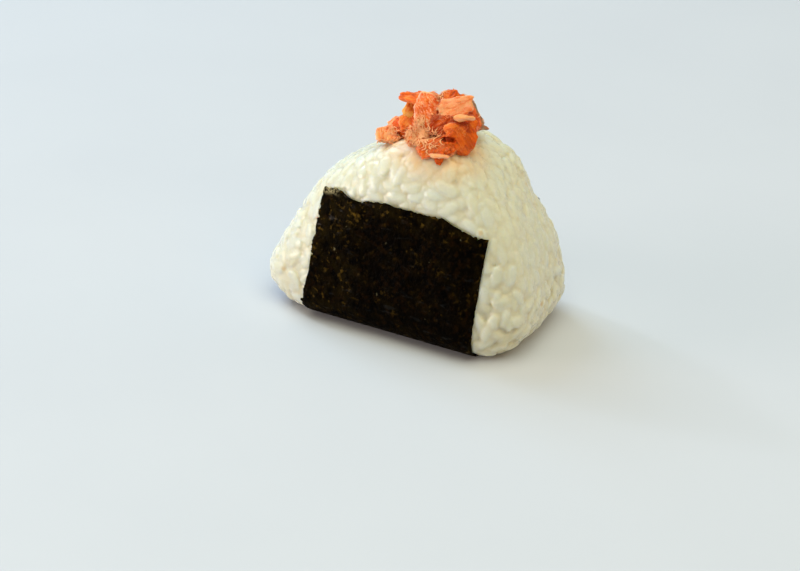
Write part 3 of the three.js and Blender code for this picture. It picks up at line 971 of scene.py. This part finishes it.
def build_shreds(heap, rng):
    """Torn pale strands that lie on the flakes."""
    spots, normals = surface_spots(heap, SHRED_SPOTS, rng)
    parts, faces, tones = [], [], []
    for number in shred_spots(spots, rng):
        normal = normals[number]
        heading = np.cross(normal, rng.normal(size=3) * [1, 0.6, 0.4])
        heading /= np.linalg.norm(heading)
        length = rng.uniform(*SHRED_LENGTH)
        bend = (rng.uniform(-1.6, 0.4), rng.choice([-1, 1]) * rng.uniform(2, 6))
        width = rng.uniform(*SHRED_WIDTH)
        faces.extend(shred_faces(len(tones)))
        parts.append(shred_points(spots[number], heading, normal, length, width, bend, rng))
        tones.extend([rng.uniform(-0.3, 0.2)] * len(parts[-1]))
    shreds = mesh_of("salmon_shreds", parts, faces)
    mark_flesh(shreds, np.concatenate(parts), tone=tones, film=0.45, amber=0.2)
    face_outward(shreds)
    shade_smooth(shreds)
    return shreds


def press_dents(heap):
    """Presses the deep hollows into the heap's front."""
    points = get_points(heap)
    along, up, out = flake_axes((24, 24), 0)
    for middle, wide, high, depth in SALMON_DENTS:
        offset = points - middle
        share = np.hypot(offset @ along / wide, offset @ up / high) + 0.2 * noise_at(points, 0.9, 2.2)
        share = (1 - smooth_step(share, 0.5, 1.1)) * smooth_step(offset @ out, -2.4, -0.6)
        points -= out * (depth * share)[:, None]
    set_points(heap, points)


def build_salmon():
    """The heap of flaked salmon on the crown."""
    rng = np.random.default_rng(SALMON_SEED)
    flakes = [build_flake(name, spec, rng) for name, spec in FLAKES.items()]
    base = build_salmon_base("salmon_base", *SALMON_BASE)
    heap = join(base, build_salmon_base("salmon_base_left", *SALMON_BASE_LEFT), *flakes)
    heap.name = heap.data.name = "salmon_heap"
    remesh(heap, SALMON_VOXEL, SALMON_MARKS + FIBRE_MARKS)
    press_dents(heap)
    apply_modifier(heap, "TRIANGULATE")
    thin_out(heap)
    shade_smooth(heap)
    shreds = build_shreds(heap, rng)
    # painted shade: the flesh is darker where the heap is closed in, and none on the strands
    paint(heap, hollow=hollows(heap))
    paint(shreds, hollow=0)
    finish_piece(heap, "salmon_flakes", salmon_material("salmon", 0.7, 0.36))
    finish_piece(shreds, "salmon_flakes", salmon_material("salmon_shred", 0.15, 0.2))


# Materials


def feed(tree, socket, value):
    """Gives a socket a number, a colour or what another node puts out."""
    if isinstance(value, bpy.types.NodeSocket):
        tree.links.new(value, socket)
    else:
        socket.default_value = (*value, 1) if socket.type == "RGBA" else value


def add_node(tree, kind, values=None, **settings):
    """A node of a kind, with its settings, and with values for its named inputs."""
    node = tree.nodes.new("ShaderNode" + kind)
    for name, setting in settings.items():
        setattr(node, name, setting)
    for name, value in (values or {}).items():
        feed(tree, node.inputs[name], value)
    return node


def new_material(name):
    """A material and its tree of nodes, still empty."""
    material = bpy.data.materials.new(name)
    material.use_nodes = True
    material.node_tree.nodes.clear()
    return material, material.node_tree


def add_shader(tree, values):
    """The material's shader, with values for its named inputs."""
    shader = add_node(tree, "BsdfPrincipled", values)
    add_node(tree, "OutputMaterial", {"Surface": shader.outputs["BSDF"]})


def mark(tree, name):
    """The number that a piece stores under a name."""
    return add_node(tree, "Attribute", attribute_name=name).outputs["Fac"]


def mix_colour(tree, factor, first, second, blend="MIX"):
    """Two colours mixed by a factor."""
    node = add_node(tree, "Mix", data_type="RGBA", blend_type=blend)
    for place, value in ((0, factor), (6, first), (7, second)):
        feed(tree, node.inputs[place], value)
    return node.outputs[2]


def math_node(tree, operation, first, second, clamp=False):
    """The result of one sum, from numbers or sockets."""
    node = add_node(tree, "Math", operation=operation, use_clamp=clamp)
    feed(tree, node.inputs[0], first)
    feed(tree, node.inputs[1], second)
    return node.outputs[0]


def times(tree, first, second):
    """The product of two numbers or sockets."""
    return math_node(tree, "MULTIPLY", first, second)


def cover(tree, colour, *coats):
    """A colour with others laid over it in turn, each where its mask lies and at its strength."""
    for coat, mask, strength in coats:
        colour = mix_colour(tree, times(tree, mask, strength), colour, coat)
    return colour


def map_range(tree, value, to_low, to_high, from_low=0.0, from_high=1.0):
    """A value carried from one range to another, and held within it."""
    values = {"From Min": from_low, "From Max": from_high, "To Min": to_low, "To Max": to_high}
    return add_node(tree, "MapRange", {"Value": value, **values}).outputs["Result"]


def bump(tree, height, distance):
    """A normal from a height, which stands for a distance in millimetres."""
    values = {"Strength": 1.0, "Distance": distance * MM, "Height": height}
    return add_node(tree, "Bump", values).outputs["Normal"]


def new_group(name, inputs, outputs):
    """An empty node group with named inputs and outputs, each of a kind."""
    tree = bpy.data.node_groups.new(name, "ShaderNodeTree")
    for way, sockets in (("INPUT", inputs), ("OUTPUT", outputs)):
        for label, kind in sockets.items():
            tree.interface.new_socket(label, in_out=way, socket_type="NodeSocket" + kind)
    return tree, tree.nodes.new("NodeGroupInput").outputs, tree.nodes.new("NodeGroupOutput").inputs


@cache
def mottle_group():
    """A cloudy mask from 0 to 1. A small spread gives sharp patches, and a high middle few of them."""
    numbers = dict.fromkeys(("Patch size", "Spread", "Middle", "Shift"), "Float")
    tree, inputs, outputs = new_group("Mottle", {**numbers, "Stretch": "Vector"}, {"Mask": "Float"})
    place = add_node(tree, "VectorMath", operation="MULTIPLY")
    feed(tree, place.inputs[0], add_node(tree, "TexCoord").outputs["Object"])
    feed(tree, place.inputs[1], inputs["Stretch"])
    values = {
        "Vector": place.outputs["Vector"],
        "Scale": math_node(tree, "DIVIDE", 1, inputs["Patch size"]),
        "W": inputs["Shift"],
        "Detail": 3,
    }
    clouds = add_node(tree, "TexNoise", values, noise_dimensions="4D").outputs["Fac"]
    low = math_node(tree, "SUBTRACT", inputs["Middle"], inputs["Spread"])
    high = math_node(tree, "ADD", inputs["Middle"], inputs["Spread"])
    feed(tree, outputs["Mask"], map_range(tree, clouds, 0, 1, low, high))
    return tree


def mottle(tree, patch, spread=0.2, middle=0.5, shift=0.0, stretch=(1, 1, 1)):
    """The mask of the mottle group, placed with its own values, its patches in millimetres."""
    values = {"Spread": spread, "Middle": middle, "Shift": shift, "Stretch": stretch}
    node = add_node(tree, "Group", {"Patch size": patch * MM, **values}, node_tree=mottle_group())
    return node.outputs["Mask"]


def rice_material():
    """Moist rice: whitish grains of different tones, with painted warm shade in the gaps between them
    and near the foot.
    """
    material, tree = new_material("rice")
    stain = times(tree, mark(tree, "stain"), mottle(tree, 5, 0.3, 0.35))
    coats = (
        (RICE_CREAM, mark(tree, "grain_tone"), 0.8),
        (RICE_BEIGE_AND_SHADE, mottle(tree, 9, 0.25, 0.5, 5.0), 0.2),
        # the gap mark: painted shade between grains and near the foot
        (RICE_BEIGE_AND_SHADE, mark(tree, "gap"), 0.5),
        (RICE_STAIN, stain, 0.8),
        (RICE_GERM, mark(tree, "germ"), 0.7),
    )
    values = {
        "Base Color": cover(tree, RICE_WHITE, *coats),
        "Roughness": map_range(tree, mottle(tree, 2.5, 0.2, 0.5, 2.0), 0.12, 0.45),
        "IOR": 1.38,
        "Subsurface Weight": 1.0,
        "Subsurface Radius": (1.0, 0.88, 0.6),
        "Subsurface Scale": 3.6 * MM,
        "Normal": bump(tree, mottle(tree, 1.2, 0.4), 0.06),
    }
    add_shader(tree, values)
    return material


def seaweed_material():
    """Dried seaweed: nearly black, with brown and gold patches, most near the left and upper edges."""
    material, tree = new_material("seaweed")
    crowds = map_range(tree, mottle(tree, 7, 0.14, 0.5, 8.0), 0.2, 0.82)
    scattered = map_range(tree, mottle(tree, 8, 0.1, 0.54, 2.0), 0, 0.34)
    often = math_node(tree, "ADD", times(tree, mark(tree, "worn"), crowds), scattered, clamp=True)
    anywhere = math_node(tree, "ADD", often, 0.3, clamp=True)
    coats = (
        (SEAWEED_BROWN, mottle(tree, 3.4, 0.14, 0.53), 1),
        (SEAWEED_RED, mottle(tree, 1.8, 0.09, 0.6, 11.0), 1),
        (SEAWEED_OLIVE, times(tree, often, mottle(tree, 2.2, 0.13, 0.52, 5.0)), 1),
        (SEAWEED_GOLD, times(tree, often, mottle(tree, 1.6, 0.08, 0.66, 4.0)), 1),
        (SEAWEED_PALE, times(tree, anywhere, mottle(tree, 2.2, 0.04, 0.74, 7.0)), 0.4),
        (SEAWEED_PALE, times(tree, mark(tree, "pale_corner"), mottle(tree, 0.8, 0.08, 0.5, 9.0)), 0.8),
    )
    glints = mottle(tree, 1.6, 0.04, 0.64, 6.6, (0.35, 1, 1))
    glints = times(tree, glints, mottle(tree, 9, 0.1, 0.5, 3.3))
    crinkle = math_node(tree, "ADD", mottle(tree, 0.9, 0.3, 0.5, 1.0), mottle(tree, 2.4, 0.3, 0.5, 3.0))
    values = {
        "Base Color": cover(tree, SEAWEED_BLACK, *coats),
        "Roughness": map_range(tree, mottle(tree, 2, 0.2, 0.5, 6.0), 0.3, 0.6),
        "Specular IOR Level": 0.012,
        "Coat Weight": times(tree, glints, 0.22),
        "Coat Roughness": 0.34,
        "Normal": bump(tree, crinkle, 0.3),
    }
    add_shader(tree, values)
    return material


def fibre_noise(tree, scale, stretch, shift):
    """Noise drawn out along each flake's own fibres."""
    marks = [times(tree, mark(tree, name), share) for name, share in zip(FIBRE_MARKS, stretch)]
    place = add_node(tree, "CombineXYZ", dict(zip("XYZ", marks))).outputs["Vector"]
    values = {"Vector": place, "Scale": scale, "Detail": 2, "W": shift}
    return add_node(tree, "TexNoise", values, noise_dimensions="4D").outputs["Fac"]


def muscle_colour(tree, tone):
    """Salmon's orange, from pale pink to dark, and yellower where it is marked amber."""
    ramp = add_node(tree, "ValToRGB", {"Fac": tone})
    elements = ramp.color_ramp.elements
    while len(elements) < len(SALMON_TONES):
        elements.new(0.5)
    for element, (position, colour) in zip(elements, SALMON_TONES):
        element.position = position
        element.color = (*colour, 1)
    return mix_colour(tree, mark(tree, "amber"), ramp.outputs["Color"], SALMON_AMBER, "MULTIPLY")


@cache
def flesh_group():
    """Salmon's flesh: orange muscle streaked along its fibres, with pale film, grey-brown skin and
    painted shade in the heap's recesses.
    """
    sockets = {"Colour": "Color", "Streaks": "Float"}
    tree, inputs, outputs = new_group("Salmon flesh", {"Contrast": "Float"}, sockets)
    streaks = map_range(tree, fibre_noise(tree, 1.3, (0.22, 1.5, 1.5), 0.0), -0.5, 0.5, 0.3, 0.7)
    hollow = mark(tree, "hollow")
    tone = math_node(tree, "ADD", mark(tree, "tone"), times(tree, streaks, inputs["Contrast"]))
    # painted shade: darker tone, and no pale film, where the heap is closed in
    tone = math_node(tree, "ADD", tone, times(tree, hollow, 0.75))
    middle = math_node(tree, "SUBTRACT", fibre_noise(tree, 1.1, (0.3, 1.6, 1.6), 5.0), 0.5)
    veins = map_range(tree, math_node(tree, "ABSOLUTE", middle, 0), 0.85, 0, 0.0, 0.035)
    film = math_node(tree, "MAXIMUM", mark(tree, "film"), times(tree, veins, mark(tree, "veined")))
    open_film = times(tree, film, math_node(tree, "SUBTRACT", 1, hollow))
    skin = times(tree, mark(tree, "skin"), mottle(tree, 1.2, 0.2, 0.35, 3.0))
    coats = ((SALMON_CREAM, open_film, 1), (SALMON_SKIN, skin, 1))
    feed(tree, outputs["Colour"], cover(tree, muscle_colour(tree, tone), *coats))
    feed(tree, outputs["Streaks"], streaks)
    return tree


def salmon_material(name, seen_through, contrast):
    """Cooked salmon, a little moist, with light going into it."""
    material, tree = new_material(name)
    flesh = add_node(tree, "Group", {"Contrast": contrast}, node_tree=flesh_group()).outputs
    values = {
        "Base Color": flesh["Colour"],
        "Roughness": map_range(tree, mottle(tree, 1.5, 0.25, 0.5, 7.0), 0.2, 0.5),
        "Specular IOR Level": 0.16,
        "Subsurface Weight": seen_through,
        "Subsurface Radius": (1.0, 0.4, 0.2),
        "Subsurface Scale": 1.0 * MM,
        "Normal": bump(tree, flesh["Streaks"], 0.14),
    }
    add_shader(tree, values)
    return material


# Floor, light and camera


def build_floor():
    """A plain pale floor."""
    deselect_all()
    bpy.ops.mesh.primitive_plane_add(size=FLOOR_SIZE, location=(0, 0, 0))
    floor = bpy.context.object
    floor.name = "floor"
    material, tree = new_material("floor")
    colour = mix_colour(tree, mottle(tree, 60, 0.3), *FLOOR_COLOURS)
    add_shader(tree, {"Base Color": colour, "Roughness": 0.7})
    floor.data.materials.append(material)


def light_studio():
    """An even light all round, and soft lights from the upper left, behind and the right."""
    world = bpy.data.worlds.new("studio")
    bpy.context.scene.world = world
    world.use_nodes = True
    background = world.node_tree.nodes["Background"]
    feed(world.node_tree, background.inputs["Color"], ROOM_COLOUR)
    feed(world.node_tree, background.inputs["Strength"], ROOM_LIGHT)
    for name, (place, size, power, colour) in LIGHTS.items():
        light = bpy.data.lights.new(name, "AREA")
        light.size = size * MM
        light.energy = power
        light.color = colour
        obj = new_object(name, light)
        obj.location = Vector(place) * MM
        obj.rotation_euler = (Vector(LIGHT_AIM) * MM - obj.location).to_track_quat("-Z", "Y").to_euler()


def build_camera():
    """The photograph's camera, tilted a little, so that uprights lean to the right."""
    data = bpy.data.cameras.new("camera")
    data.sensor_width = CAMERA_SENSOR
    data.lens = CAMERA_LENS
    data.clip_start, data.clip_end = CAMERA_CLIP
    camera = new_object("camera", data)
    place = Vector(CAMERA_AT) * MM
    aim = Vector(CAMERA_AIM) * MM - place
    turn = aim.to_track_quat("-Z", "Y").to_matrix() @ Matrix.Rotation(CAMERA_TILT, 3, "Z")
    camera.matrix_world = Matrix.Translation(place) @ turn.to_4x4()
    bpy.context.scene.camera = camera


bpy.context.scene.view_settings.view_transform = "Standard"
build_camera()
build_floor()
light_studio()
build_rice()
build_seaweed()
build_salmon()
